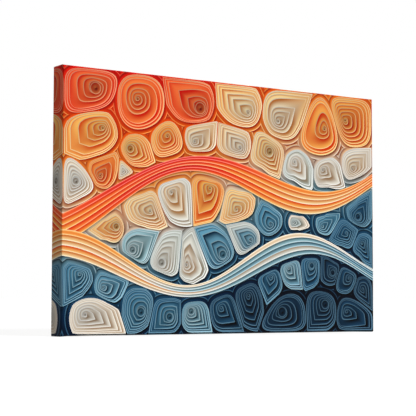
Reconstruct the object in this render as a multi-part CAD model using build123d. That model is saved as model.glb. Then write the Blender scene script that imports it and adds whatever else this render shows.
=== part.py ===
from build123d import *
import os

os.makedirs("parts", exist_ok=True)

# A stretched canvas print: printed cotton canvas wrapped round a keyed pine stretcher frame.
# Millimetres. X runs across the picture, Y from its face to the wall, Z up.
# The pieces are drawn about the middle of the frame, with Y = 0 at the front of the bars.

# Stretcher frame, outside, and the section of its bars
frame_width = 609.6
frame_height = 406.4
bar_depth = 31.75
bar_width = 38.0
edge_round = 1.2
lip_width = 5.0
lip_step = 2.0
lip_foot_round = 1.6
bevel_fall = 2.5
inner_front_round = 3.0
inner_back_round = 2.0

# Tongue-and-slot corner: two tongues, one behind the other, between mitred cheeks
front_cheek = 10.5
tongue_layer = 5.0
tongue_play = 0.15
tongue_setback = 0.5

# Corner keys: wedges driven in beside each tongue, from the inside of the frame
key_length = 34.0
key_driven_in = 22.0
key_tip = 2.0
key_tail = 7.5
key_play = 0.2
key_corner_round = 1.0

# Canvas: one sheet, turned over the back and stapled, with a folded pleat at each corner
canvas_thickness = 0.45
hem_width = 20.0
pleat_layers = 2
pleat_setback = 0.6
pleat_ramp = 3.0
pleat_bite = 0.2

# Staples
staple_crown = 10.0
staple_leg = 6.5
wire_gauge = 0.7
wire_width = 1.0
staple_pitch = 58.0
staple_inset = 12.0
staple_corner_margin = 76.0
corner_staple_inset = 17.0

# Sawtooth hanger, nailed to the top bar
hanger_length = 46.0
hanger_height = 9.0
hanger_gauge = 0.8
hanger_standoff = 2.2
hanger_foot = 8.0
hanger_slope = 3.0
hanger_bend_round = 0.5
hanger_corner_round = 2.0
hanger_gap = 1.5
tooth_pitch = 2.8
tooth_depth = 1.7
middle_tooth_depth = 2.6

# Nails that hold the hanger
nail_shank_radius = 0.6
nail_head_radius = 2.0
nail_head_thickness = 0.7
nail_length = 12.0
nail_point = 1.5
nail_hole_play = 0.25
nail_grip_play = 0.02

# Rubber bumpers at the bottom corners of the back
bumper_radius = 5.0
bumper_top_radius = 4.4
bumper_height = 3.0
bumper_edge = 0.8
bumper_inset = 50.0

# How far a cutter runs past what it cuts
overrun = 5.0

# Planes that several pieces share
half_width = frame_width / 2
half_height = frame_height / 2
hem_face = bar_depth + canvas_thickness
pleat_rise = pleat_layers * canvas_thickness
tongue_planes = [front_cheek, front_cheek + tongue_layer, front_cheek + 2 * tongue_layer]
hem_middle_z = half_height - hem_width / 2


def prism(points, low, high):
    """A prism along Y over an (x, z) outline."""
    outline = make_face(Polyline(*[(x, low, z) for x, z in points], close=True))
    return extrude(outline, high - low, dir=(0, 1, 0))


def four_corners(shape):
    """The shape and its three mirror images: top left, top right, bottom left, bottom right."""
    left = [shape, shape.mirror(Plane.XY)]
    right = [piece.mirror(Plane.YZ) for piece in left]
    return {
        "top_left": left[0],
        "top_right": right[0],
        "bottom_left": left[1],
        "bottom_right": right[1],
    }


# Bars

def bar_section():
    """Section of a bar, drawn in (y, z) with its outer side along z = 0 and the rest below it."""
    lip_foot = lip_width + lip_step
    outline = FilletPolyline(
        (0, 0),
        (0, -lip_width),
        (lip_step, -lip_foot),
        (lip_step + bevel_fall, -bar_width),
        (bar_depth, -bar_width),
        (bar_depth, 0),
        radius=[
            edge_round,
            lip_foot_round,
            lip_foot_round,
            inner_front_round,
            inner_back_round,
            edge_round,
        ],
        close=True,
    )
    return Plane.YZ * make_face(outline)


def key_outline():
    """Outline of a key as (along, across), with along measured inwards from the frame's outer side."""
    tip = bar_width - key_driven_in
    tail = tip + key_length
    return [
        (tip, bar_width),
        (tail, bar_width),
        (tail, bar_width + key_tail),
        (tip, bar_width + key_tip),
    ]


def slot_outline():
    """Outline of a slot: the tongue's square, the relief past it and the taper that seats the key."""
    tip = bar_width - key_driven_in
    taper = (key_tail - key_tip) / key_length
    mouth_depth = bar_width + key_tip + taper * (key_driven_in + overrun)
    return [
        (-overrun, -overrun),
        (bar_width + overrun, -overrun),
        (bar_width + overrun, mouth_depth),
        (tip, bar_width + key_tip),
        (-overrun, bar_width + key_tip),
    ]


def bar(length, tongue_first):
    """A bar along X, with its outer side at z = 0 and a tongue, a slot and mitred cheeks at each end."""
    end = length / 2
    shape = extrude(bar_section(), end, both=True)
    front, middle, back = tongue_planes
    tongue = (front, middle) if tongue_first else (middle, back)
    slot = (middle, back) if tongue_first else (front, middle)
    mitre = [
        (-end - overrun, overrun),
        (-end - overrun, -bar_width - overrun),
        (-end + bar_width + overrun, -bar_width - overrun),
    ]
    cuts = [
        prism(mitre, -overrun, tongue[0] + tongue_play),
        prism(mitre, tongue[1] - tongue_play, bar_depth + overrun),
        prism([(across - end, -along) for along, across in slot_outline()], *slot),
        Pos(-end, 0, 0) * Box(2 * tongue_setback, 2 * (bar_depth + overrun), 2 * (bar_width + overrun)),
    ]
    for cut in cuts:
        shape = shape - cut - cut.mirror(Plane.YZ)
    return shape


def bars():
    """The four bars in their places. The level pair has its tongues in front of the upright pair's."""
    level = Pos(0, 0, half_height) * bar(frame_width, tongue_first=True)
    upright = Pos(-half_width, 0, 0) * Rot(0, -90, 0) * bar(frame_height, tongue_first=False)
    return {
        "bar_top": level,
        "bar_bottom": level.mirror(Plane.XY),
        "bar_left": upright,
        "bar_right": upright.mirror(Plane.YZ),
    }


# Corner keys

def key(outline, layer):
    """A key in one layer of the joint, with the corners of its tail eased."""
    radii = [0, key_corner_round, key_corner_round, 0]
    face = make_face(FilletPolyline(*outline, radius=radii, close=True))
    front = tongue_planes[layer] + key_play
    back = tongue_planes[layer + 1] - key_play
    return extrude(Plane.XZ.offset(-front) * face, back - front, dir=(0, 1, 0))


def keys():
    """Two keys at each corner: one through each bar, each beside the other bar's tongue."""
    along_x = [(along - half_width, half_height - across) for along, across in key_outline()]
    along_z = [(across - half_width, half_height - along) for along, across in key_outline()]
    found = {}
    for number, (outline, layer) in enumerate([(along_x, 0), (along_z, 1)], start=1):
        for corner, shape in four_corners(key(outline, layer)).items():
            found[f"key_{corner}_{number}"] = shape
    return found


# Canvas

def wrapped_block(grow, grow_pleats=0.0):
    """The frame's outer block grown on every side, with its front and back edges rounded."""
    width = frame_width + 2 * grow
    height = frame_height + 2 * (grow + grow_pleats)
    depth = bar_depth + 2 * grow + grow_pleats
    middle = depth / 2 - grow
    round_x = edge_round + grow + grow_pleats
    round_z = edge_round + grow
    across = extrude(
        Plane.YZ * Pos(middle, 0) * RectangleRounded(depth, height, round_x), width / 2, both=True
    )
    upright = extrude(
        Plane.XY * Pos(0, middle) * RectangleRounded(width, depth, round_z), height / 2, both=True
    )
    return across & upright


def pleat():
    """Top left pleat: the sheet's spare corner folded flat on the top side and over the back."""
    side = half_width - pleat_setback
    turn = bar_depth + canvas_thickness + pleat_rise

    def on_top(z, ramp):
        return make_face(
            Polyline(
                (-side, pleat_setback + ramp, z),
                (-side, turn, z),
                (-half_width + turn - ramp, turn, z),
                close=True,
            )
        )

    def on_back(y, ramp):
        right = -half_width + turn - ramp
        top = half_height + canvas_thickness + pleat_rise
        return make_face(
            Polyline(
                (-side, y, top),
                (right, y, top),
                (right, y, half_height - hem_width),
                (-half_width + hem_width, y, half_height - hem_width),
                (-side, y, half_height - pleat_setback),
                close=True,
            )
        )

    top_face = half_height + canvas_thickness
    fold_top = loft(
        [on_top(top_face - pleat_bite, 0), on_top(top_face + pleat_rise, pleat_ramp)], ruled=True
    )
    fold_back = loft(
        [on_back(hem_face - pleat_bite, 0), on_back(hem_face + pleat_rise, pleat_ramp)], ruled=True
    )
    return (fold_top + fold_back) & wrapped_block(canvas_thickness, pleat_rise)


def canvas():
    """The whole sheet: face, four sides, hems and corner pleats."""
    sheet = wrapped_block(canvas_thickness) - wrapped_block(0)
    sheet -= Pos(0, bar_depth, 0) * Box(
        frame_width - 2 * hem_width, bar_depth, frame_height - 2 * hem_width
    )
    for fold in four_corners(pleat()).values():
        sheet += fold
    return sheet


# Staples

def staple(x, z, turn, face):
    """A staple driven in from the back, its crown lying on the cloth at y = face."""
    half = staple_crown / 2
    outline = FilletPolyline(
        (-half, -staple_leg),
        (-half, wire_gauge),
        (half, wire_gauge),
        (half, -staple_leg),
        (half - wire_gauge, -staple_leg),
        (half - wire_gauge, 0),
        (-half + wire_gauge, 0),
        (-half + wire_gauge, -staple_leg),
        radius=[0, wire_gauge, wire_gauge, 0, 0, 0, 0, 0],
        close=True,
    )
    wire = extrude(make_face(outline), wire_width / 2, both=True)
    return Pos(x, face, z) * Rot(0, turn, 0) * wire


def row_of_places(length):
    """Evenly spaced places along a side, clear of its corners."""
    span = length - 2 * staple_corner_margin
    gaps = max(1, round(span / staple_pitch))
    return [-span / 2 + n * span / gaps for n in range(gaps + 1)]


def staples():
    """Staples along the four hems and one across each corner fold."""
    across = half_height - staple_inset
    upright = half_width - staple_inset
    made = []
    for side in (-1, 1):
        made += [staple(x, side * across, 0, hem_face) for x in row_of_places(frame_width)]
        made += [staple(side * upright, z, 90, hem_face) for z in row_of_places(frame_height)]
    corner_x = -half_width + corner_staple_inset + staple_crown / 2
    corner_z = half_height - staple_inset
    corner = staple(corner_x, corner_z, 0, hem_face + pleat_rise)
    made += four_corners(corner).values()
    return made


# Hanging fittings

def hanger_top():
    """Height of the hanger's top edge: just below the raw edge of the top hem."""
    return half_height - hem_width - hanger_gap


def hanger_strip():
    """Sawtooth hanger: a steel strip with its feet on the wood and a raised, toothed middle."""
    end = hanger_length / 2
    rise_start = end - hanger_foot
    rise_end = rise_start - hanger_slope
    path = [
        (-end, 0),
        (-rise_start, 0),
        (-rise_end, hanger_standoff),
        (rise_end, hanger_standoff),
        (rise_start, 0),
        (end, 0),
    ]
    outer = [(x, y + hanger_gauge) for x, y in reversed(path)]
    bends = [0] + [hanger_bend_round] * 4 + [0]
    section = make_face(FilletPolyline(*path, *outer, radius=bends * 2, close=True))
    strip = extrude(section, hanger_height / 2, both=True)
    outline = extrude(
        Plane.XZ * RectangleRounded(hanger_length, hanger_height, hanger_corner_round),
        bar_depth,
        both=True,
    )
    strip = strip & outline
    bottom = -hanger_height / 2
    teeth = int((rise_end - tooth_pitch / 2) / tooth_pitch)
    for n in range(-teeth, teeth + 1):
        depth = middle_tooth_depth if n == 0 else tooth_depth
        x = n * tooth_pitch
        notch = [
            (x - tooth_pitch / 2, bottom),
            (x - tooth_pitch / 2, bottom - overrun),
            (x + tooth_pitch / 2, bottom - overrun),
            (x + tooth_pitch / 2, bottom),
            (x, bottom + depth),
        ]
        strip -= prism(notch, -overrun, overrun)
    for place in nail_places():
        strip -= Pos(place, 0, 0) * Rot(90, 0, 0) * Cylinder(
            nail_shank_radius + nail_hole_play, 4 * hanger_gauge
        )
    return Pos(0, bar_depth, hanger_top() - hanger_height / 2) * strip


def nail_places():
    """Distance of each nail from the middle of the hanger, along X."""
    reach = (hanger_length - hanger_foot) / 2
    return [-reach, reach]


def nail(x, play=0.0):
    """A nail through a foot of the hanger into the top bar. With play, the hole that it leaves."""
    shank_radius = nail_shank_radius + play
    head_face = bar_depth + hanger_gauge
    point = head_face - nail_length
    profile = [
        (0, point),
        (shank_radius, point + nail_point),
        (shank_radius, head_face),
        (nail_head_radius, head_face),
        (nail_head_radius, head_face + nail_head_thickness),
        (0, head_face + nail_head_thickness),
    ]
    shape = revolve(make_face(Polyline(*profile, close=True)), Axis.Y)
    return Pos(x, 0, hanger_top() - hanger_height / 2) * shape


def bumper(x):
    """A soft rubber dot on the bottom hem, a little narrower at its flat end."""
    profile = [
        (0, 0),
        (bumper_radius, 0),
        (bumper_top_radius, bumper_height - bumper_edge),
        (bumper_top_radius - bumper_edge, bumper_height),
        (0, bumper_height),
    ]
    dot = revolve(make_face(Polyline(*profile, close=True)), Axis.Y)
    return Pos(x, hem_face, -hem_middle_z) * dot


# Assembly

def build():
    """Every piece by name, about the middle of the frame."""
    wires = staples()
    nails = [nail(x) for x in nail_places()]
    nail_holes = [nail(x, nail_grip_play) for x in nail_places()]
    pieces = {"canvas": canvas()}
    pieces.update(bars())
    for name in ("canvas", "bar_top", "bar_bottom", "bar_left", "bar_right"):
        for wire in wires:
            pieces[name] -= wire
    for hole in nail_holes:
        pieces["bar_top"] -= hole
    pieces.update(keys())
    pieces["sawtooth_hanger"] = hanger_strip()
    pieces["hanger_nail_left"], pieces["hanger_nail_right"] = nails
    pieces["bumper_left"] = bumper(bumper_inset - half_width)
    pieces["bumper_right"] = bumper(half_width - bumper_inset)
    pieces["staples"] = Compound(children=wires)
    return pieces


# The row frame: X = 0 and Y = 0 in the middle of the whole, Z = 0 under the bottom pleats
overall_depth = bar_depth + 2 * canvas_thickness + bumper_height
to_frame = Pos(
    0,
    canvas_thickness - overall_depth / 2,
    half_height + canvas_thickness + pleat_rise,
)

for name, shape in build().items():
    export_step(to_frame * shape, f"parts/{name}.step")
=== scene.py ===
import math

import bmesh
import bpy
import numpy as np
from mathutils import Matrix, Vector


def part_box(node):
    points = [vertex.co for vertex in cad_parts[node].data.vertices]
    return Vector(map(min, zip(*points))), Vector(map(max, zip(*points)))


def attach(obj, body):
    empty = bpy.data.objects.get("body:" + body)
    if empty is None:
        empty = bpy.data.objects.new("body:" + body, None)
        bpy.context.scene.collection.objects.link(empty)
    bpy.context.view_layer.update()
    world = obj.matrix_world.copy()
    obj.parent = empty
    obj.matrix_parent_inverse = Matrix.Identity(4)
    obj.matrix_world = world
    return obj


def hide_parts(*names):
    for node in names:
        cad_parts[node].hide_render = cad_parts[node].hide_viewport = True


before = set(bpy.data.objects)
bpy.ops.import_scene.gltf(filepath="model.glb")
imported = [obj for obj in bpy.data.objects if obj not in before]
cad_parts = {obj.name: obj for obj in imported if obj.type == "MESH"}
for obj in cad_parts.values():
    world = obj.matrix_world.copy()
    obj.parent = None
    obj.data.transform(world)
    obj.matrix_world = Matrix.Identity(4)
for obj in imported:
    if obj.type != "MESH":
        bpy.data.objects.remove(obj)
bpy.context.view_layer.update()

# A canvas print stretched over a keyed pine frame. The picture is a generic one of rolled paper:
# coils packed between ribbons of paper strips standing on edge, warm at the top and cool below.
# Lengths of the cloth, the picture and the patterns are in millimetres, and the meshes are in metres.
MM = 0.001

# The cloth, with the thickness, radii, pleats and hem of the frame's own canvas
CLOTH = 0.45
EDGE_RADIUS = 1.65
PLEAT_RISE = 0.9
PLEAT_RAMP = 3.6
PLEAT_EDGE = 0.65
MITRE_RAMP = 1.1
CORNER_RADIUS = 0.8
HEM = 20.45
PRINTED_HEM = 6.0

low, high = [[c / MM for c in corner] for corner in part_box("canvas")]
DEPTH = high[1] - PLEAT_RISE - low[1]
SIDE_X = high[0]
SIDE_Z = (high[2] - low[2]) / 2 - PLEAT_RISE
MIDDLE_Z = (high[2] + low[2]) / 2

# The flat sheet, measured from the middle of the face: where each part of its fold begins
FACE = np.array([SIDE_X - EDGE_RADIUS, SIDE_Z - EDGE_RADIUS])
ARC = EDGE_RADIUS * math.pi / 2
STRAIGHT = DEPTH - 2 * EDGE_RADIUS
TO_SIDE = ARC
TO_BACK_ARC = TO_SIDE + STRAIGHT
TO_HEM = TO_BACK_ARC + ARC
TO_RAW_EDGE = TO_HEM + HEM - EDGE_RADIUS
TO_PRINT_EDGE = TO_HEM + PRINTED_HEM - EDGE_RADIUS

# How the flat sheet is cut to bend: across each arc, and a little beside it, so that the flats stay flat to
# the eye. Points within SNAP of a cut lie on it, and parts join where points lie within WELD. An edge that
# turns by more than SHARP_FOLD isn't smoothed.
ARC_STEPS = 4
BESIDE_BEND = 1.0
SNAP = 0.002
WELD = 0.005
SHARP_FOLD = math.radians(75)
MAP_MARGIN = 0.01

# The picture: two ribbons across it, with the waves of their middle lines and of their widths. The ground
# for the coils ends a margin short of a ribbon, and a coil stays outside three tangents to its edge.
RIBBONS = (
    {"base": 34.0, "slope": 0.14, "swing": 44.0, "wave": 560.0, "phase": 2.5,
     "half": 17.0, "flare": 0.34, "flare_wave": 410.0, "strips": 5, "tone": -0.32},
    {"base": -96.0, "slope": 0.02, "swing": 38.0, "wave": 470.0, "phase": -0.5,
     "half": 15.0, "flare": 0.38, "flare_wave": 360.0, "strips": 5, "tone": -0.22},
)
RIBBON_MARGIN = 1.0
RIBBON_TANGENTS = (-24.0, 0.0, 24.0)

# Where the coils lie: how wide they are beside a ribbon and in the open field, which varies in patches,
# and the share of its width squared that a coil takes. Their middles are scattered on a grid of ground
# points, and then moved to the middle of the ground nearest them. There the ground of small coils pulls
# more, and ground in another field is too far. TINY is a length that counts as none.
SEED = 11
SMALL_COIL = 47.0
LARGE_COIL = 112.0
NEAR_RIBBON = 4.0
OPEN_FIELD = 60.0
PATCH_MEAN = 0.72
PATCH_SWAY = 0.28
PATCH_WAVES = (57.0, 43.0)
PATCH_PHASES = (1.1, -0.6)
COIL_AREA = 0.80
GRID = 4.0
SCATTER = 1.0
SMALL_COIL_PULL = -4.0
RELAXING_ROUNDS = 50
TOO_FAR = 1e12
TINY = 1e-6

# A coil's outline: the kinds and how often each comes, how round it is, and how a drop or leaf is drawn
# out to its tips
NEIGHBOURS = 29
KINDS = {"round": 0.22, "drop": 0.56, "leaf": 0.22}
OUTLINE_STEP = 4.8
HUB_STEP = 1.0
COIL_GAP = 0.9
LEAST_REACH = 1.0
ROUNDING = 3.6
TIPPED_BODY = 1.06
TIP_SPREAD = math.radians(70)
TIP_CURVE = 1.6

# A coil's eye, in shares of the coil's radius: how far it lies from the hub, and its own radius with how
# often that comes
EYE_SHIFT = (0.15, 0.40)
DROP_SHIFT = 0.42
DROP_SWAY = 0.25
EYES = {0.05: 0.7, 0.20: 0.3}
LEAST_EYE = 1.0

# A coil's windings: tight ones round its rim, open ones inside them, and a spiral from there to the mouth
# of its eye. A coil over a certain radius can have two of the first kinds. Depths run from 0 at the rim to
# 1 at the middle, and RIM is the width of the paper's cut edge.
TWO_WRAPS_RADIUS = 20.0
WRAP_PITCH = 4.4
MOST_WRAPPED = 0.2
TWO_OPEN_RADIUS = 24.0
TWO_OPEN_TURNS = 0.45
SMALL_RADIUS = 16.0
SMALL_OPENED = 0.4
OPENED = (0.48, 0.66)
SPIRAL_PITCH = 8.0
LEAST_TURNS = 2
MOUTH_DEPTH = 0.97
EYE_WINDING = 0.98
GROUND_PITCH = 8.0
RIM = 1.6
RIM_SHARES = (0.05, 0.42)

# The picture's paper colours, at places from 0 to 1, and how the place changes over its 610 mm of width and
# 407 mm of height
TONES = (
    (0.00, "#F2362C"),
    (0.07, "#FB5433"),
    (0.15, "#FF7A3C"),
    (0.23, "#FF9C3F"),
    (0.33, "#FFBC5C"),
    (0.43, "#FFDB94"),
    (0.50, "#FFEBC8"),
    (0.57, "#F6F1E4"),
    (0.65, "#A6CFD8"),
    (0.75, "#5897B4"),
    (0.86, "#2C6286"),
    (1.00, "#163752"),
)
TONE_MIDDLE = 0.60
TONE_ACROSS = 0.24 / 610
TONE_UP = -0.86 / 407
TONE_SWAY = 0.07
TONE_WAVE = 95.0

# How coils and strips stray from that place, and how bright a coil's paper is. About one coil in six is
# cream, or jumps to a warmer or cooler place.
TONE_SPREAD = 0.08
INNER_SPREAD = 0.05
STRIP_SPREAD = 0.16
ODD_COILS = 0.16
CREAM = 0.55
TONE_JUMP = 0.15
COIL_LIGHT = (0.92, 1.05)

# The light on the pictured paper. A strip's wall is lighter or deeper as it faces the light, and its shade
# keeps part of each colour: most of the red in strong colours, and less in paper that is near white. Its
# cut edge is pale, a coil is darker down at its eye, and a ribbon casts a shadow below it.
PAPER_LIGHT = (-0.55, 0.83, 0.0)
WALL_LIGHT = (0.10, 0.92)
SHADE_DEPTH = 3.2
WHITE_BLUE = 0.6
RED_IN_SHADE = (0.72, 0.49)
GREEN_IN_SHADE = 0.38
BLUE_IN_SHADE = 0.34
EDGE_PALENESS = 0.5
EDGE_LIGHT = (0.66, 1.05)
EDGE_FADE = (0.65, 1.1)
EYE_SHADE = 0.6
SUNK_LIGHT = (0.58, 1.05)
RIBBON_LIT = 0.85
RIBBON_SHADOW = 0.55
RIBBON_SHADOW_REACH = 0.30

# The paper between the coils: its colours deepened and darkened, with more red where they are strong
GROUND_DEPTH = 1.7
GROUND_SHADE = 0.62
GROUND_GLOW = np.array([0.16, -0.06, -0.06])

# The materials: widths of what their patterns are made of. Some real ones are too fine to show, so they
# are drawn coarser: cotton threads of 0.3 mm, printed dots of 0.1 mm, wood fibres of 0.04 mm and the fine
# lines left by a rolling mill, of about 0.05 mm.
THREAD = 0.8
PRINT_GRAIN = 1.1
WOOD_FIBRE = 1.1
ROLLED_LINE = (11.0, 0.4, 0.4)
BEECH_FLECK = 0.7
ZINC_SPANGLE = 2.2
RUBBER_GRAIN = 0.45
DUST = 3.3

# What the patterns do: how often and how much a cotton thread thickens, how far print and wood vary in
# brightness, the part of a noise's values that makes fibres, flecks, rolled lines or dust, and how much
# dust there is where it lies thickest
SLUB_THREADS = 2.3
SLUB_RISE = 0.9
PRINT_SHADES = (0.93, 1.07)
FIBRE_SPAN = (0.25, 0.75)
FIBRE_SHADES = (0.92, 1.06)
FLECK_SPAN = (0.60, 0.68)
LINE_SPAN = (0.3, 0.7)
DUST_SPAN = (0.45, 0.75)
MOST_DUST = 0.5

# Wood: its colours, the width and contrast of its rings, how they wander round a pith that lies beside the
# board, how the years differ, where in a year the dark late wood grows and ends, and its knots
PINE = {"early": "#EBD3A6", "late": "#CDA069", "ring": 2.7, "contrast": 0.62}
BEECH = {"early": "#DDBB93", "late": "#C79C70", "ring": 2.1, "contrast": 0.6, "flecks": 0.7}
PITH = (34.0, 52.0)
RING_WANDER = 24.0
RING_STRAY = 15.0
ALONG_GRAIN = 0.08
YEAR_WAVE = 0.45
YEAR_SPREAD = 1.6
LATE_WOOD = (0.30, 0.92)
WINTER = (0.94, 1.0)
KNOT_SQUASH = 1.6
KNOT_EDGE = (2.5, 4.2)
KNOT_DARKNESS = 0.85
KNOT_REACH = 22.0
KNOT_SWELL = 7.0

# The camera, where the photograph's stood. Its place is in metres, and its turn is in degrees.
VIEW_FROM = (-1.20375, -1.74963, 0.05632)
VIEW_TURN = (93.9996, -0.1093, -33.8416)
LENS = 112.706
FARTHEST = 200

# How strong the sky, the two lamps and the floor's glow are, and how far the floor reaches, in metres
SKY = 0.39
KEY = 2.85
FILL = 1.1
FLOOR_GLOW = 0.78
FLOOR_REACH = 60


def linear(code):
    """An sRGB hex colour as linear red, green, blue and an alpha of 1."""
    parts = [int(code[i:i + 2], 16) / 255 for i in (1, 3, 5)]
    return [p / 12.92 if p <= 0.04045 else ((p + 0.055) / 1.055) ** 2.4 for p in parts] + [1.0]


def ramp(value, start, end):
    """0 before start, 1 past end, and a smooth rise between."""
    t = np.clip((value - start) / (end - start), 0, 1)
    return t * t * (3 - 2 * t)


# The picture's layout

def ribbon_place(ribbon, x, z):
    """Where (x, z) lies across a ribbon, from -1 to 1 between its edges, and its half width there."""
    middle = ribbon["base"] + ribbon["slope"] * x
    middle = middle + ribbon["swing"] * np.sin(2 * math.pi * x / ribbon["wave"] + ribbon["phase"])
    half = ribbon["half"] * (1 + ribbon["flare"] * np.sin(2 * math.pi * x / ribbon["flare_wave"]))
    return (z - middle) / half, half


def field_of(x, z):
    """Which field between the ribbons (x, z) lies in, or -1 on a ribbon."""
    field = np.zeros(np.shape(x), int)
    covered = np.zeros(np.shape(x), bool)
    for ribbon in RIBBONS:
        place, half = ribbon_place(ribbon, x, z)
        field += place > 0
        covered |= np.abs(place) < 1 + RIBBON_MARGIN / half
    return np.where(covered, -1, field)


def coil_size(x, z):
    """The coils are small beside the ribbons and large in the open fields, more so in some patches."""
    clear = np.full(np.shape(x), np.inf)
    for ribbon in RIBBONS:
        place, half = ribbon_place(ribbon, x, z)
        clear = np.minimum(clear, (np.abs(place) - 1) * half)
    across, up = [np.sin(v / wave + phase) for v, wave, phase in zip((x, z), PATCH_WAVES, PATCH_PHASES)]
    patches = PATCH_MEAN + PATCH_SWAY * across * up
    return SMALL_COIL + (LARGE_COIL - SMALL_COIL) * ramp(clear, NEAR_RIBBON, OPEN_FIELD) * patches


def relaxed_sites(dice):
    """Middles of the coils: scattered by size, then each moved to the middle of the ground nearest it."""
    x, z = np.meshgrid(*[np.arange(-half, half, GRID) + GRID / 2 for half in FACE])
    points = np.column_stack([x.ravel(), z.ravel()])
    field = field_of(*points.T)
    points, field = points[field >= 0], field[field >= 0]
    size = coil_size(*points.T)
    share = GRID * GRID / (COIL_AREA * size * size)
    count = int(round(share.sum()))
    sites = points[dice.choice(len(points), count, replace=False, p=share / share.sum())]
    sites = sites + dice.uniform(-SCATTER, SCATTER, sites.shape)
    weight = size ** SMALL_COIL_PULL
    for _ in range(RELAXING_ROUNDS):
        home = field_of(*sites.T)
        apart = ((points[:, None, :] - sites[None, :, :]) ** 2).sum(axis=2)
        apart[field[:, None] != home[None, :]] = TOO_FAR
        nearest = apart.argmin(axis=1)
        total = np.bincount(nearest, weight, count)
        for axis in (0, 1):
            moment = np.bincount(nearest, weight * points[:, axis], count)
            np.divide(moment, total, out=sites[:, axis], where=total > 0)
    return sites


def clipped(polygon, point, direction):
    """The part of a convex polygon that lies behind a line through point, square to direction."""
    kept = []
    beyond = (polygon - point) @ direction
    for i in range(len(polygon)):
        j = (i + 1) % len(polygon)
        if beyond[i] <= 0:
            kept.append(polygon[i])
        if (beyond[i] <= 0) != (beyond[j] <= 0):
            kept.append(polygon[i] + (polygon[j] - polygon[i]) * beyond[i] / (beyond[i] - beyond[j]))
    return np.array(kept)


def ribbon_edge(ribbon, x, side):
    """The point at x on a ribbon's upper edge (side 1) or lower edge (side -1)."""
    place, half = ribbon_place(ribbon, x, 0.0)
    return np.array([x, (side - place) * half])


def beside_ribbons(cell, site):
    """The part of a cell that its coil can fill, on the site's side of tangents to each ribbon."""
    for ribbon in RIBBONS:
        side = np.sign(ribbon_place(ribbon, *site)[0])
        for x in site[0] + np.array(RIBBON_TANGENTS):
            point = ribbon_edge(ribbon, x, side)
            along = ribbon_edge(ribbon, x + 1.0, side) - point
            cell = clipped(cell, point, np.array([along[1], -along[0]]) * side)
    return cell


def points_round(polygon, step):
    """Points in order round a polygon, about a step apart, with its corners among them."""
    points = []
    for start, end in zip(polygon, np.roll(polygon, -1, axis=0)):
        length = np.linalg.norm(end - start)
        if length > TINY:
            count = max(1, round(length / step))
            points += [start + (end - start) * i / count for i in range(count)]
    return np.array(points)


def nearness(polygon, hub, facing):
    """For each direction from the hub and each side of a polygon, one over the distance to that side."""
    along = np.roll(polygon, -1, axis=0) - polygon
    length = np.linalg.norm(along, axis=1)
    polygon, along, length = [values[length > TINY] for values in (polygon, along, length)]
    square = np.column_stack([along[:, 1], -along[:, 0]]) / length[:, None]
    apart = np.maximum(((polygon - hub) * square).sum(axis=1) - COIL_GAP, LEAST_REACH)
    return np.maximum(facing @ square.T, 0) / apart


def coil_outline(room, hub, facing, tips):
    """How far a coil reaches in each direction. It is round where it can be, and drawn out to its tips."""
    near = nearness(room, hub, facing)
    limit = 1 / near.max(axis=1)
    reach = (near ** ROUNDING).sum(axis=1) ** (-1 / ROUNDING)
    if tips:
        reach = np.minimum(reach, TIPPED_BODY * np.median(reach))
    body = reach
    for tip in tips:
        apart = np.arccos(np.clip(facing @ facing[tip], -1, 1))
        drawn = np.clip(1 - apart / TIP_SPREAD, 0, 1) ** TIP_CURVE
        reach = np.maximum(reach, body + (limit[tip] - body[tip]) * drawn)
    return np.minimum(reach, limit)


def tone_at(x, z):
    """Place in TONES of the colour at (x, z), from warm at the top left to cool at the bottom right."""
    return TONE_MIDDLE + TONE_ACROSS * x + TONE_UP * z + TONE_SWAY * np.sin(x / TONE_WAVE)


def tone_colours(tones):
    """The colours at some places in TONES, in linear values."""
    places = [place for place, _ in TONES]
    colours = np.array([linear(code)[:3] for _, code in TONES])
    return np.column_stack([np.interp(tones, places, colours[:, i]) for i in range(3)])


def ground_colours(points):
    """The paper seen between the coils: deep in the shade, and redder there where its colour is strong."""
    colours = tone_colours(tone_at(*points.T)) ** GROUND_DEPTH
    return colours * (GROUND_SHADE + GROUND_GLOW * (1 - colours[:, 2:]))


def coil_shape(site, sites, dice):
    """A coil's hub, its radius, the way each point round it faces from the hub, and four rings of such
    points: its border with its neighbours, its outline, the mouth of its eye, and the middle of its eye."""
    cell = np.array([(-1, -1), (1, -1), (1, 1), (-1, 1)]) * FACE
    for other in sites[np.argsort(((sites - site) ** 2).sum(axis=1))[1:NEIGHBOURS + 1]]:
        cell = clipped(cell, (site + other) / 2, other - site)
    room = beside_ribbons(cell, site)
    hub = points_round(room, HUB_STEP).mean(axis=0)
    border = points_round(cell, OUTLINE_STEP)
    facing = (border - hub) / np.linalg.norm(border - hub, axis=1)[:, None]
    free = 1 / nearness(room, hub, facing).max(axis=1)
    tip = int(free.argmax())
    far = int((facing @ facing[tip]).argmin())
    kind = dice.choice(list(KINDS), p=list(KINDS.values()))
    tips = {"round": [], "drop": [tip], "leaf": [tip, far]}[kind]
    reach = coil_outline(room, hub, facing, tips)
    radius = float(np.median(reach))
    swing = dice.uniform(0, 2 * math.pi)
    shift = np.array([math.cos(swing), math.sin(swing)]) * dice.uniform(*EYE_SHIFT) * radius
    if kind == "drop":
        shift = shift * DROP_SWAY - facing[tip] * DROP_SHIFT * radius
    eye = hub + shift
    outline = hub + facing * reach[:, None]
    mouth = eye + facing * (LEAST_EYE + dice.choice(list(EYES), p=list(EYES.values())) * radius)
    centre = np.repeat(eye[None, :], len(border), axis=0)
    return hub, radius, facing, (border, outline, mouth, centre)


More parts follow.
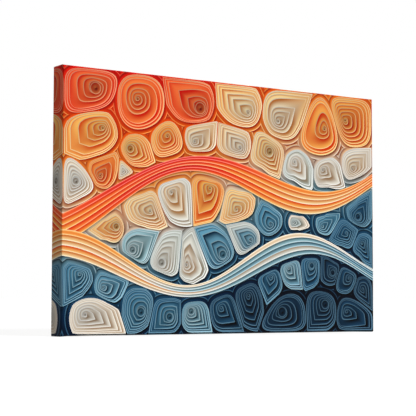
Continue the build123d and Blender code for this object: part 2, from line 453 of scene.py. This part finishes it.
def coil_parts(site, sites, dice):
    """A coil on the ground up to its neighbours: the way each point faces from the hub, where its strip
    starts, rings of points from its border to its eye, and the bands between the rings. A band is its kind,
    and at its outer and inner ring the winding, how far in it lies from 0 to 1, and the paper."""
    hub, radius, facing, (border, outline, mouth, centre) = coil_shape(site, sites, dice)
    wraps = 2 if radius > TWO_WRAPS_RADIUS else 1
    open_turns = 2 if radius > TWO_OPEN_RADIUS and dice.random() < TWO_OPEN_TURNS else 1
    wrapped = min(MOST_WRAPPED, wraps * WRAP_PITCH / radius)
    opened = dice.uniform(*OPENED) if radius > SMALL_RADIUS else SMALL_OPENED
    spread = wraps + open_turns
    turns = spread + max(LEAST_TURNS, round((1 - opened) * radius / SPIRAL_PITCH))
    ground_turns = -np.linalg.norm(border - outline, axis=1) / GROUND_PITCH
    tone = tone_at(*hub) + dice.normal(0, TONE_SPREAD)
    if dice.random() < ODD_COILS:
        tone = dice.choice([CREAM, tone + TONE_JUMP, tone - TONE_JUMP])
    ground = [ground_colours(ring) for ring in (border, outline)]
    lit = dice.uniform(*COIL_LIGHT)
    tones = (tone, tone + dice.normal(0, INNER_SPREAD))
    outer, inner = [tone_colours(np.full(len(border), t)) * lit for t in tones]
    between = [outline + (mouth - outline) * depth for depth in (wrapped, opened)]
    rings = [border, outline, *between, mouth, centre]
    bands = [
        ("ground", ground_turns, 0.0, (0.0, 0.0), ground),
        ("strip", 0.0, wraps, (0.0, wrapped), (outer, outer)),
        ("strip", wraps, spread, (wrapped, opened), (outer, inner)),
        ("strip", spread, turns, (opened, MOUTH_DEPTH), (inner, inner)),
        ("eye", 0.0, EYE_WINDING, (MOUTH_DEPTH, 1.0), (inner, inner * EYE_SHADE)),
    ]
    return facing, dice.random(), rings, bands


def picture_mesh():
    """The flat picture: one star of triangles for each coil, out to its neighbours. Its UV maps tell its
    shader the windings, and the way each point faces from the hub, which is shorter further in. Its colours
    tell it the paper and, as alpha, the share of a winding that the paper's edge takes."""
    dice = np.random.default_rng(SEED)
    sites = relaxed_sites(dice)
    points, faces, coil, facings, papers = [], [], [], [], []
    for site in sites:
        facing, start, rings, bands = coil_parts(site, sites, dice)
        count = len(facing)
        base = len(points)
        points += [(x * MM, 0.0, z * MM) for ring in rings for x, z in ring]
        for ring, (kind, *windings, depths, colours) in enumerate(bands):
            windings = [np.broadcast_to(w, count) for w in windings]
            wide = np.linalg.norm(rings[ring] - rings[ring + 1], axis=1)
            rims = RIM * np.abs(windings[1] - windings[0]) / np.maximum(wide, TINY)
            rims = np.clip(rims, *RIM_SHARES)
            for i in range(count):
                corners = [(0, i), (0, i + 1), (1, i + 1), (1, i)]
                for triangle in ([(0, 1, 2)] if kind == "eye" else [(0, 1, 2), (0, 2, 3)]):
                    chosen = [corners[c] for c in triangle]
                    faces.append([base + (ring + side) * count + k % count for side, k in chosen])
                    for side, k in chosen:
                        winding = windings[side][k % count]
                        spiral = [winding - k / count - start, winding]
                        coil += spiral if kind == "strip" else [winding, 1.0]
                        facings += list(facing[k % count] * (1 - depths[side]))
                        papers += [*np.minimum(colours[side][k % count], 1.0), rims[k % count]]
    mesh = bpy.data.meshes.new("picture")
    mesh.from_pydata(points, [], faces)
    corner_points = np.array(points)[np.array([i for face in faces for i in face])]
    places = corner_points[:, [0, 2]].ravel() / MM
    for name, values in (("coil", coil), ("facing", facings), ("place", places)):
        mesh.uv_layers.new(name=name).data.foreach_set("uv", np.array(values, dtype=np.float32))
    mesh.color_attributes.new("paper", "FLOAT_COLOR", "CORNER").data.foreach_set("color", papers)
    return mesh


# The cloth

def cut(bm, point, normal, drop=False, where=None):
    """Cuts the flat sheet along a line, where it can then bend. With drop, what lies past the line goes."""
    faces = [face for face in bm.faces if where is None or where(face.calc_center_median())]
    edges = dict.fromkeys(edge for face in faces for edge in face.edges)
    verts = dict.fromkeys(vert for face in faces for vert in face.verts)
    bmesh.ops.bisect_plane(
        bm,
        geom=[*verts, *edges, *faces],
        dist=SNAP * MM,
        plane_co=Vector((point[0], 0, point[1])) * MM,
        plane_no=Vector((normal[0], 0, normal[1])),
        clear_outer=drop,
    )


def corners():
    """The signs of x and z at the four corners."""
    return [(sx, sz) for sx in (-1, 1) for sz in (-1, 1)]


def outward(axis, side):
    """The direction out of the picture on one side of it: axis 0 is x and 1 is z."""
    direction = np.array([0.0, 0.0])
    direction[axis] = side
    return direction


def strip_beside(mesh, axis, side):
    """The edge of the picture as a mirror wrap prints it on that side of the frame, cut where it bends."""
    strip = bmesh.new()
    strip.from_mesh(mesh)
    direction = outward(axis, side)
    cut(strip, direction * (FACE[axis] - TO_RAW_EDGE), -direction, drop=True)
    for vert in strip.verts:
        vert.co[2 * axis] = 2 * side * FACE[axis] * MM - vert.co[2 * axis]
    bmesh.ops.reverse_faces(strip, faces=strip.faces[:])
    arc = [ARC * step / ARC_STEPS for step in range(ARC_STEPS + 1)]
    front = [*arc[1:], TO_SIDE + BESIDE_BEND]
    back = [TO_BACK_ARC - BESIDE_BEND, *(TO_BACK_ARC + a for a in arc), TO_HEM + BESIDE_BEND]
    for bend in front + back:
        cut(strip, direction * (FACE[axis] + bend), direction)
    # The side hems go on a little past the mitre, under the upper and lower ones, which come down on it
    mitre_cuts = (-TO_SIDE,) if axis == 0 else (MITRE_RAMP, MITRE_RAMP / 2, 0.0)
    for sx, sz in corners():
        for inside in mitre_cuts:
            start = (sx * (FACE[0] + TO_HEM - inside), sz * FACE[1])
            last = inside == mitre_cuts[-1]
            cut(strip, start, (sx, sz), drop=last, where=lambda c: c.x * sx > 0 and c.z * sz > 0)
    return strip


def cut_pleats(strip):
    """Cuts the sheet above or below the picture where its pleats lie, and drops what they fold away."""
    end_x, end_z = (FACE + TO_SIDE) * MM
    hem_z = (FACE[1] + TO_BACK_ARC - BESIDE_BEND) * MM
    for sx, sz in corners():
        for past in (0.0, PLEAT_RAMP / 2, PLEAT_RAMP):
            cut(strip, (sx * FACE[0], sz * (FACE[1] + TO_SIDE + past)), (sx, sz),
                where=lambda c: c.x * sx > 0 and c.z * sz > end_z)
            cut(strip, (sx * (SIDE_X - DEPTH + past), 0), (sx, 0),
                where=lambda c: c.x * sx > 0 and c.z * sz > hem_z)
    middles = {face: face.calc_center_median() for face in strip.faces}
    waste = [face for face, c in middles.items() if abs(c.x) > end_x and abs(c.z) > end_z]
    bmesh.ops.delete(strip, geom=waste, context="FACES")


def wrapped_sheet():
    """The flat sheet: the picture with its mirrored strips, cut to its outline and where it bends."""
    mesh = picture_mesh()
    for axis in (0, 1):
        bm = bmesh.new()
        bm.from_mesh(mesh)
        for side in (-1, 1):
            strip = strip_beside(mesh, axis, side)
            if axis == 1:
                cut_pleats(strip)
            part = bpy.data.meshes.new("strip")
            strip.to_mesh(part)
            strip.free()
            bm.from_mesh(part)
        for side in (-1, 1):
            direction = outward(axis, side)
            cut(bm, direction * (FACE[axis] - BESIDE_BEND), direction)
        bmesh.ops.remove_doubles(bm, verts=bm.verts[:], dist=WELD * MM)
        bm.to_mesh(mesh)
        bm.free()
    return mesh


def folded(past):
    """Where the sheet goes at a distance past the start of an edge: how far out, how deep, its normal."""
    turn = np.clip(past / EDGE_RADIUS, 0, math.pi / 2)
    turn_back = np.clip((past - TO_BACK_ARC) / EDGE_RADIUS, 0, math.pi / 2)
    along = np.clip(past - TO_SIDE, 0, STRAIGHT)
    out = np.where(past < 0, past, 0) + EDGE_RADIUS * (np.sin(turn) + np.cos(turn_back) - 1)
    out = out - np.maximum(past - TO_HEM, 0)
    deep = EDGE_RADIUS * (1 - np.cos(turn)) + along + EDGE_RADIUS * np.sin(turn_back)
    return out, deep, np.sin(turn + turn_back), -np.cos(turn + turn_back)


def fold_sheet(mesh):
    """Folds the flat sheet round the frame, with its corner pleats on the top, the bottom and the back."""
    flat = np.empty(len(mesh.vertices) * 3)
    mesh.vertices.foreach_get("co", flat)
    flat = flat.reshape(-1, 3) / MM
    x, z = flat[:, 0], flat[:, 2]
    out_x, deep_x, _, _ = folded(np.abs(x) - FACE[0])
    out_z, deep_z, normal_z, normal_y = folded(np.abs(z) - FACE[1])
    new_x, new_z = FACE[0] + out_x, FACE[1] + out_z
    deep = np.maximum(deep_x, deep_z)
    inset_x, inset_z = SIDE_X - new_x, SIDE_Z - new_z
    pleated = np.abs(z) >= FACE[1] + TO_SIDE
    on_hem = ramp(np.abs(z) - FACE[1], TO_BACK_ARC, TO_HEM)
    rise = ramp(deep_z - inset_x, 0, PLEAT_RAMP) * ramp(inset_x, 0, PLEAT_EDGE)
    rise = rise * (1 - on_hem * (1 - ramp(inset_x - inset_z, 0, MITRE_RAMP)))
    rise = np.where(pleated, rise * PLEAT_RISE, 0)
    near_x = np.clip(CORNER_RADIUS - inset_x, 0, None)
    near_z = np.clip(CORNER_RADIUS - inset_z, 0, None)
    share = CORNER_RADIUS / np.maximum(np.hypot(near_x, near_z), CORNER_RADIUS)
    rounded = (near_x > 0) & (near_z > 0) & (share < 1)
    new_x = np.where(rounded, SIDE_X - CORNER_RADIUS + near_x * share, new_x)
    new_z = np.where(rounded, SIDE_Z - CORNER_RADIUS + near_z * share, new_z)
    folded_points = np.column_stack([
        np.sign(x) * new_x,
        low[1] + deep + rise * normal_y,
        MIDDLE_Z + np.sign(z) * (new_z + rise * normal_z),
    ])
    mesh.vertices.foreach_set("co", (folded_points * MM).ravel())


def lay_out_bake(mesh):
    """A flat map of the cloth for textures: its face in one piece, and its inside, smaller, above it."""
    place = mesh.uv_layers["sheet"].data
    values = np.empty(len(place) * 2, dtype=np.float32)
    place.foreach_get("uv", values)
    values = values.reshape(-1, 2)
    half = FACE + TO_RAW_EDGE
    wide = 1 - 2 * MAP_MARGIN
    top = wide * half[1] / half[0] + 2 * MAP_MARGIN
    outer = (values + half) / (2 * half[0]) * wide + MAP_MARGIN
    room_left = 1 - 3 * MAP_MARGIN - top
    inner = (values + half) / (2 * half[1]) * room_left + [MAP_MARGIN, top + MAP_MARGIN]
    inside = np.zeros(len(mesh.loops), bool)
    for polygon in mesh.polygons:
        if polygon.material_index:
            inside[list(polygon.loop_indices)] = True
    layer = mesh.uv_layers.new(name="OFBake")
    layer.data.foreach_set("uv", np.where(inside[:, None], inner, outer).astype(np.float32).ravel())


def apply_modifiers(piece):
    """Replaces a piece's mesh by what its modifiers make of it."""
    depsgraph = bpy.context.evaluated_depsgraph_get()
    made = piece.evaluated_get(depsgraph)
    mesh = bpy.data.meshes.new_from_object(made, preserve_all_data_layers=True, depsgraph=depsgraph)
    piece.modifiers.clear()
    piece.data = mesh


def canvas_piece(print_material, raw_material):
    """The printed cloth as one folded sheet of its real thickness."""
    mesh = wrapped_sheet()
    bm = bmesh.new()
    bm.from_mesh(mesh)
    bmesh.ops.triangulate(bm, faces=bm.faces[:])
    bmesh.ops.dissolve_degenerate(bm, edges=bm.edges[:], dist=SNAP * MM)
    sheet = bm.loops.layers.uv.new("sheet")
    for face in bm.faces:
        for loop in face.loops:
            loop[sheet].uv = loop.vert.co.xz / MM
    bm.to_mesh(mesh)
    bm.free()
    fold_sheet(mesh)
    mesh.materials.append(print_material)
    mesh.materials.append(raw_material)
    mesh.shade_smooth()
    piece = bpy.data.objects.new("canvas_sheet", mesh)
    bpy.context.scene.collection.objects.link(piece)
    thick = piece.modifiers.new("thickness", "SOLIDIFY")
    thick.thickness = CLOTH * MM
    thick.offset = -1
    thick.material_offset = 1
    thick.material_offset_rim = 1
    apply_modifiers(piece)
    piece.data.set_sharp_from_angle(angle=SHARP_FOLD)
    lay_out_bake(piece.data)
    return piece


# Materials

def add(tree, kind, *inputs, named=None, **settings):
    """Adds a shader node. Kind may end in its operation. Inputs are numbers, colours, sockets or nodes,
    whose first output is meant."""
    kind, _, operation = kind.partition(" ")
    node = tree.nodes.new("ShaderNode" + kind)
    if operation:
        node.operation = operation
    for name, value in settings.items():
        setattr(node, name, value)
    for key, value in [*enumerate(inputs), *(named or {}).items()]:
        if isinstance(value, bpy.types.Node):
            value = value.outputs[0]
        if isinstance(value, bpy.types.NodeSocket):
            tree.links.new(value, node.inputs[key])
        elif value is not None:
            node.inputs[key].default_value = value
    return node


def new_material(name, **constants):
    """An empty node material, its tree and its surface shader, with constant values by input name."""
    material = bpy.data.materials.new(name)
    material.use_nodes = True
    tree = material.node_tree
    tree.nodes.clear()
    shader = add(tree, "BsdfPrincipled", named={key.replace("_", " "): v for key, v in constants.items()})
    add(tree, "OutputMaterial", shader)
    return material, tree, shader


def tone_colour(tree, tone):
    """The colour at a place in TONES."""
    colour = add(tree, "ValToRGB", tone)
    stops = colour.color_ramp.elements
    for place, _ in TONES[1:-1]:
        stops.new(place)
    for stop, (_, code) in zip(stops, TONES):
        stop.color = linear(code)
    return colour


def wall_shade(tree, deep, lit):
    """How bright a strip's wall is: lit at its top edge where it faces the light, dim under the next."""
    turned = add(tree, "Math MULTIPLY_ADD", lit, -2.0, 1.0)
    bright = add(tree, "Math MULTIPLY_ADD", deep, turned, lit)
    return add(tree, "MapRange", bright, *WALL_LIGHT, 0.0, 1.0, interpolation_type="SMOOTHSTEP")


def painted_paper(tree, paper, rim, deep, lit):
    """Paper seen into from above its edge. Its shaded side is a deeper colour, and its edge is pale. Light
    that bounces between strongly coloured walls keeps their shade red. Between white ones it is brown."""
    shade = wall_shade(tree, deep, lit)
    deep_colour = add(tree, "Gamma", paper, SHADE_DEPTH)
    whiteness = add(tree, "SeparateColor", paper).outputs["Blue"]
    red_left = add(tree, "MapRange", whiteness, 0.0, WHITE_BLUE, *RED_IN_SHADE)
    left = add(tree, "CombineColor", red_left, GREEN_IN_SHADE, BLUE_IN_SHADE)
    deep_colour = add(tree, "MixRGB", 1.0, deep_colour, left, blend_type="MULTIPLY")
    wall = add(tree, "MixRGB", shade, deep_colour, paper)
    edge = add(tree, "Gamma", paper, EDGE_PALENESS)
    edge_light = add(tree, "MapRange", lit, 0.0, 1.0, *EDGE_LIGHT)
    edge = add(tree, "MixRGB", 1.0, edge, edge_light, blend_type="MULTIPLY")
    ratio = add(tree, "Math DIVIDE", deep, rim)
    edge_mask = add(tree, "MapRange", ratio, *EDGE_FADE, 1.0, 0.0, interpolation_type="SMOOTHSTEP")
    return add(tree, "MixRGB", edge_mask, wall, edge)


def wave(tree, along, length, phase, size, middle):
    """middle + size * sin(2 pi along / length + phase)"""
    angle = add(tree, "Math MULTIPLY_ADD", along, 2 * math.pi / length, phase)
    return add(tree, "Math MULTIPLY_ADD", add(tree, "Math SINE", angle), size, middle)


def add_ribbon(tree, ribbon, x, z, tone, below):
    """Draws a ribbon of strips standing on edge over the colours below it, and its shadow on them."""
    middle = wave(tree, x, ribbon["wave"], ribbon["phase"], ribbon["swing"], ribbon["base"])
    middle = add(tree, "Math MULTIPLY_ADD", x, ribbon["slope"], middle)
    half = wave(tree, x, ribbon["flare_wave"], 0.0, ribbon["half"] * ribbon["flare"], ribbon["half"])
    place = add(tree, "Math DIVIDE", add(tree, "Math SUBTRACT", z, middle), half)
    strips = ribbon["strips"]
    strip = add(tree, "Math MULTIPLY_ADD", place, strips / 2, strips / 2)
    deep = add(tree, "Math FRACT", strip)
    deep = add(tree, "Math MINIMUM", deep, add(tree, "Math SUBTRACT", strips, strip))
    noise = add(tree, "TexWhiteNoise", named={"W": add(tree, "Math FLOOR", strip)}, noise_dimensions="1D")
    least = ribbon["tone"] - STRIP_SPREAD / 2
    shift = add(tree, "Math MULTIPLY_ADD", noise.outputs["Value"], STRIP_SPREAD, least)
    colour = tone_colour(tree, add(tree, "Math ADD", tone, shift))
    rim = add(tree, "Math DIVIDE", RIM * strips / 2, half)
    painted = painted_paper(tree, colour, rim, deep, RIBBON_LIT)
    apart = add(tree, "Math ABSOLUTE", place)
    shadow = add(tree, "MapRange", place, -1.0 - RIBBON_SHADOW_REACH, -1.0, 0.0, RIBBON_SHADOW,
                 interpolation_type="SMOOTHSTEP")
    above = add(tree, "Math LESS_THAN", place, 0.0)
    shadow = add(tree, "Math MULTIPLY", shadow, above)
    below = add(tree, "MixRGB", shadow, below, linear("#000000"))
    return add(tree, "MixRGB", add(tree, "Math LESS_THAN", apart, 1.0), below, painted)


def picture_colour(tree):
    """The picture's colours, worked out from its mesh's windings and from the ribbons' outlines."""
    turn, guard, _ = add(tree, "SeparateXYZ", add(tree, "UVMap", uv_map="coil")).outputs
    paper = add(tree, "Attribute", attribute_name="paper")
    facing = add(tree, "UVMap", uv_map="facing")
    x, z, _ = add(tree, "SeparateXYZ", add(tree, "UVMap", uv_map="place")).outputs
    deep = add(tree, "Math MINIMUM", add(tree, "Math FRACT", turn), guard)
    light = tuple(Vector(PAPER_LIGHT).normalized())
    away = add(tree, "VectorMath NORMALIZE", facing)
    away = add(tree, "VectorMath DOT_PRODUCT", away, light).outputs["Value"]
    lit = add(tree, "Math MULTIPLY_ADD", away, -0.5, 0.5)
    colour = painted_paper(tree, paper.outputs["Color"], paper.outputs["Alpha"], deep, lit)
    sunk = add(tree, "VectorMath LENGTH", facing).outputs["Value"]
    sunk = add(tree, "MapRange", sunk, 0.0, 1.0, *SUNK_LIGHT)
    colour = add(tree, "MixRGB", 1.0, colour, sunk, blend_type="MULTIPLY")
    tone = wave(tree, x, 2 * math.pi * TONE_WAVE, 0.0, TONE_SWAY, TONE_MIDDLE)
    tone = add(tree, "Math MULTIPLY_ADD", x, TONE_ACROSS, tone)
    tone = add(tree, "Math MULTIPLY_ADD", z, TONE_UP, tone)
    for ribbon in RIBBONS:
        colour = add_ribbon(tree, ribbon, x, z, tone, colour)
    return colour


def weave(tree):
    """Height of plain-woven cotton, from 0 to about 1, with some threads thicker than others."""
    directions = add(tree, "SeparateXYZ", add(tree, "UVMap", uv_map="sheet")).outputs[:2]
    waves = [add(tree, "Math SINE", add(tree, "Math MULTIPLY", v, math.pi / THREAD)) for v in directions]
    over = add(tree, "Math MULTIPLY_ADD", add(tree, "Math MULTIPLY", *waves), 0.5, 0.5)
    slubs = []
    for v in directions:
        thread = add(tree, "Math MULTIPLY", v, 1 / (SLUB_THREADS * THREAD))
        values = {"W": thread, "Scale": 1.0, "Detail": 1.0}
        slubs.append(add(tree, "TexNoise", named=values, noise_dimensions="1D"))
    uneven = add(tree, "Math MULTIPLY", *slubs)
    return add(tree, "Math MULTIPLY_ADD", uneven, SLUB_RISE, over)


def place_on_piece(tree):
    """The point on the piece, in millimetres."""
    return add(tree, "VectorMath SCALE", add(tree, "TexCoord").outputs["Object"], named={"Scale": 1 / MM})


def bump(tree, shader, height, strength, depth):
    """Raises the surface by a height from 0 to 1, times depth in millimetres."""
    raised = add(tree, "Bump", named={"Height": height, "Strength": strength, "Distance": depth * MM})
    tree.links.new(raised.outputs[0], shader.inputs["Normal"])


def colour_surface(tree, shader, colour):
    """Gives the surface a colour that changes over it."""
    tree.links.new(colour.outputs[0], shader.inputs["Base Color"])


def printed_canvas():
    """Inkjet print on primed cotton canvas, matt: deep even colours, hardly any shine and a faint weave.
    Past the print on the folded-back hem, the primed cloth is bare and white."""
    material, tree, shader = new_material("matt_printed_canvas", Roughness=0.58, Specular_IOR_Level=0.04)
    place = add(tree, "UVMap", uv_map="place")
    grain = add(tree, "TexNoise", place, named={"Scale": 1 / PRINT_GRAIN, "Detail": 3.0})
    grain = add(tree, "MapRange", grain, 0.0, 1.0, *PRINT_SHADES)
    colour = add(tree, "MixRGB", 1.0, picture_colour(tree), grain, blend_type="MULTIPLY")
    x, z, _ = add(tree, "SeparateXYZ", add(tree, "UVMap", uv_map="sheet")).outputs
    past_x = add(tree, "Math SUBTRACT", add(tree, "Math ABSOLUTE", x), float(FACE[0]))
    past_z = add(tree, "Math SUBTRACT", add(tree, "Math ABSOLUTE", z), float(FACE[1]))
    bare = add(tree, "Math GREATER_THAN", add(tree, "Math MAXIMUM", past_x, past_z), TO_PRINT_EDGE)
    colour_surface(tree, shader, add(tree, "MixRGB", bare, colour, linear("#F1EFE8"), use_clamp=True))
    bump(tree, shader, weave(tree), strength=0.6, depth=0.25)
    return material


def raw_canvas():
    """The cloth's unprimed inside and cut edge: off-white cotton, matt, with its weave plain to see and
    painted shade in its hollows.
    """
    material, tree, shader = new_material("raw_cotton_canvas", Roughness=0.92, Specular_IOR_Level=0.15)
    height = weave(tree)
    # Painted shade: the weave's low places between the raised threads are coloured darker, as if in shadow.
    colour_surface(tree, shader, add(tree, "MixRGB", height, linear("#CFC4AB"), linear("#F0E9D8")))
    bump(tree, shader, height, strength=0.5, depth=0.3)
    return material


def near_knot(tree, along, across, knot):
    """How far a knot pushes the rings aside, and how dark it is."""
    past = add(tree, "Math SUBTRACT", along, knot[0])
    beside = add(tree, "Math MULTIPLY", add(tree, "Math SUBTRACT", across, knot[1]), KNOT_SQUASH)
    apart = add(tree, "VectorMath LENGTH", add(tree, "CombineXYZ", past, beside)).outputs["Value"]
    swell = add(tree, "MapRange", apart, 0.0, KNOT_REACH, KNOT_SWELL, 0.0,
                interpolation_type="SMOOTHERSTEP")
    dark = add(tree, "MapRange", apart, *KNOT_EDGE, KNOT_DARKNESS, 0.0, interpolation_type="SMOOTHSTEP")
    return swell, dark


def wood(name, grain_axis, early, late, ring, contrast, knots=(), flecks=0.0):
    """Planed wood with its grain along x (0) or z (2): growth rings round a pith beside the board, cut by
    its faces into streaks, fine fibres, and knots that the grain flows round."""
    material, tree, shader = new_material(name, Roughness=0.6, Specular_IOR_Level=0.3)
    place = place_on_piece(tree)
    parts = add(tree, "SeparateXYZ", place).outputs
    along, across = parts[grain_axis], parts[2 - grain_axis]
    stretch = [1.0, 1.0, 1.0]
    stretch[grain_axis] = ALONG_GRAIN
    flowing = add(tree, "VectorMath MULTIPLY", place, tuple(stretch))
    wander = add(tree, "TexNoise", flowing, named={"Scale": 1 / RING_WANDER, "Detail": 2.0})
    wander = add(tree, "Math MULTIPLY_ADD", wander, 2 * RING_STRAY, -RING_STRAY)
    from_pith = [add(tree, "Math ADD", v, offset) for v, offset in zip((across, parts[1]), PITH)]
    from_pith = add(tree, "VectorMath LENGTH", add(tree, "CombineXYZ", *from_pith)).outputs["Value"]
    radius = add(tree, "Math ADD", from_pith, wander)
    dark = None
    for knot in knots:
        swell, spot = near_knot(tree, along, across, knot)
        radius = add(tree, "Math ADD", radius, swell)
        dark = spot if dark is None else add(tree, "Math MAXIMUM", dark, spot)
    years = {"W": radius, "Scale": YEAR_WAVE / ring, "Detail": 1.0}
    years = add(tree, "TexNoise", named=years, noise_dimensions="1D")
    radius = add(tree, "Math ADD", radius, add(tree, "Math MULTIPLY", years, YEAR_SPREAD * ring))
    phase = add(tree, "Math FRACT", add(tree, "Math DIVIDE", radius, ring))
    season = add(tree, "MapRange", phase, *LATE_WOOD, 0.0, 1.0, interpolation_type="SMOOTHSTEP")
    winter = add(tree, "MapRange", phase, *WINTER, 1.0, 0.0, interpolation_type="SMOOTHSTEP")
    season = add(tree, "Math MULTIPLY", add(tree, "Math MULTIPLY", season, winter), contrast)
    colour = add(tree, "MixRGB", season, linear(early), linear(late))
    fibres = add(tree, "TexNoise", flowing, named={"Scale": 1 / WOOD_FIBRE, "Detail": 2.0})
    streaks = add(tree, "MapRange", fibres, *FIBRE_SPAN, *FIBRE_SHADES)
    colour = add(tree, "MixRGB", 1.0, colour, streaks, blend_type="MULTIPLY")
    if flecks:
        rays = add(tree, "TexNoise", flowing, named={"Scale": 1 / BEECH_FLECK, "Detail": 0.0})
        rays = add(tree, "MapRange", rays, *FLECK_SPAN, 0.0, flecks)
        colour = add(tree, "MixRGB", rays, colour, linear("#8F5F38"))
    if dark is not None:
        colour = add(tree, "MixRGB", dark, colour, linear("#6A3D1E"))
    colour_surface(tree, shader, colour)
    bump(tree, shader, fibres, strength=0.3, depth=0.12)
    return material


def steel(name, colour, worn, roughness, scratches):
    """Bare metal: its colour, clouds of a duller one, and lines rolled along x that vary its roughness."""
    material, tree, shader = new_material(name, Metallic=1.0)
    place = place_on_piece(tree)
    clouds = add(tree, "TexNoise", place, named={"Scale": 1 / ZINC_SPANGLE, "Detail": 3.0})
    colour_surface(tree, shader, add(tree, "MixRGB", clouds, linear(colour), linear(worn)))
    drawn = add(tree, "VectorMath DIVIDE", place, ROLLED_LINE)
    lines = add(tree, "TexNoise", drawn, named={"Scale": 1.0, "Detail": 2.0})
    rough = add(tree, "MapRange", lines, *LINE_SPAN, roughness - scratches, roughness + scratches)
    tree.links.new(rough.outputs[0], shader.inputs["Roughness"])
    bump(tree, shader, lines, strength=0.15, depth=0.04)
    return material


def black_rubber():
    """Moulded rubber feet: near black, matt, with a slight orange-peel skin and pale dust in it."""
    material, tree, shader = new_material("black_rubber", Roughness=0.78, Specular_IOR_Level=0.4)
    place = place_on_piece(tree)
    dust = add(tree, "TexNoise", place, named={"Scale": 1 / DUST, "Detail": 4.0})
    dust = add(tree, "MapRange", dust, *DUST_SPAN, 0.0, MOST_DUST)
    colour_surface(tree, shader, add(tree, "MixRGB", dust, linear("#141414"), linear("#34322F")))
    peel = add(tree, "TexNoise", place, named={"Scale": 1 / RUBBER_GRAIN, "Detail": 2.0})
    bump(tree, shader, peel, strength=0.4, depth=0.08)
    return material


def seen_directly(tree):
    """1 for a look from the camera, in a reflection or through glass, and 0 for the light on things."""
    path = add(tree, "LightPath").outputs
    seen = add(tree, "Math MAXIMUM", path["Is Camera Ray"], path["Is Glossy Ray"])
    return add(tree, "Math MAXIMUM", seen, path["Is Transmission Ray"])


def finish_nodes(material, *names):
    """Gives frame nodes their material."""
    for name in names:
        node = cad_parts[name]
        if not node.material_slots:
            node.data.materials.append(None)
        for slot in node.material_slots:
            slot.material = material


# The pieces, with their materials

canvas = canvas_piece(printed_canvas(), raw_canvas())
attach(canvas, "root")
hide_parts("canvas")

# Each knot is given by its place along and across the grain, in millimetres
pine_across = wood("planed_pine_across", 0, knots=[(-113, 366), (171, 14)], **PINE)
pine_upright = wood("planed_pine_upright", 2, knots=[(236, -262)], **PINE)
finish_nodes(pine_across, "bar_top", "bar_bottom")
finish_nodes(pine_upright, "bar_left", "bar_right")
finish_nodes(wood("beech", 0, **BEECH), *[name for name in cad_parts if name.startswith("key_")])
wire = steel("galvanised_wire", "#B2B5B6", "#94989B", roughness=0.34, scratches=0.10)
strip_steel = steel("zinc_plated_steel", "#C6C3B9", "#A6A39B", roughness=0.26, scratches=0.12)
nail_steel = steel("bright_nail_steel", "#B4B3AF", "#92918E", roughness=0.24, scratches=0.08)
finish_nodes(wire, "staples")
finish_nodes(strip_steel, "sawtooth_hanger")
finish_nodes(nail_steel, "hanger_nail_left", "hanger_nail_right")
finish_nodes(black_rubber(), "bumper_left", "bumper_right")


# Camera, floor and light

def sun(name, towards, strength, spread):
    """A distant soft light from a direction, spread over some degrees of the sky."""
    light = bpy.data.objects.new(name, bpy.data.lights.new(name, "SUN"))
    light.data.energy = strength
    light.data.angle = math.radians(spread)
    light.rotation_euler = Vector(towards).to_track_quat("Z", "Y").to_euler()
    bpy.context.scene.collection.objects.link(light)


def studio_sky():
    """An even sky that lights softly and is white to look at."""
    world = bpy.data.worlds.new("studio")
    world.use_nodes = True
    tree = world.node_tree
    tree.nodes.clear()
    strength = add(tree, "MapRange", seen_directly(tree), 0.0, 1.0, SKY, 1.0)
    add(tree, "OutputWorld", add(tree, "Background", linear("#FFFFFF"), strength))
    return world


def white_floor():
    """Painted studio floor, matt and white to look at, which keeps the shadows that fall on it."""
    material, tree, shader = new_material("white_studio_floor", Roughness=0.9, Specular_IOR_Level=0.0)
    shader.inputs["Base Color"].default_value = linear("#959595")
    shader.inputs["Emission Color"].default_value = linear("#FFFFFF")
    glow = add(tree, "Math MULTIPLY", seen_directly(tree), FLOOR_GLOW)
    tree.links.new(glow.outputs[0], shader.inputs["Emission Strength"])
    return material


camera = bpy.data.objects.new("camera", bpy.data.cameras.new("camera"))
bpy.context.scene.collection.objects.link(camera)
bpy.context.scene.camera = camera
camera.location = VIEW_FROM
camera.rotation_euler = [math.radians(a) for a in VIEW_TURN]
camera.data.lens = LENS
camera.data.clip_end = FARTHEST
bpy.context.scene.view_settings.view_transform = "Standard"

bpy.context.scene.world = studio_sky()
sun("key_light", towards=(0.42, -0.80, 0.50), strength=KEY, spread=30)
sun("fill_light", towards=(0.25, 0.85, 0.45), strength=FILL, spread=40)

floor_mesh = bpy.data.meshes.new("floor")
floor_corners = [(x * FLOOR_REACH, y * FLOOR_REACH, 0.0) for x, y in ((-1, -1), (1, -1), (1, 1), (-1, 1))]
floor_mesh.from_pydata(floor_corners, [], [(0, 1, 2, 3)])
floor_mesh.materials.append(white_floor())
floor = bpy.data.objects.new("floor", floor_mesh)
bpy.context.scene.collection.objects.link(floor)
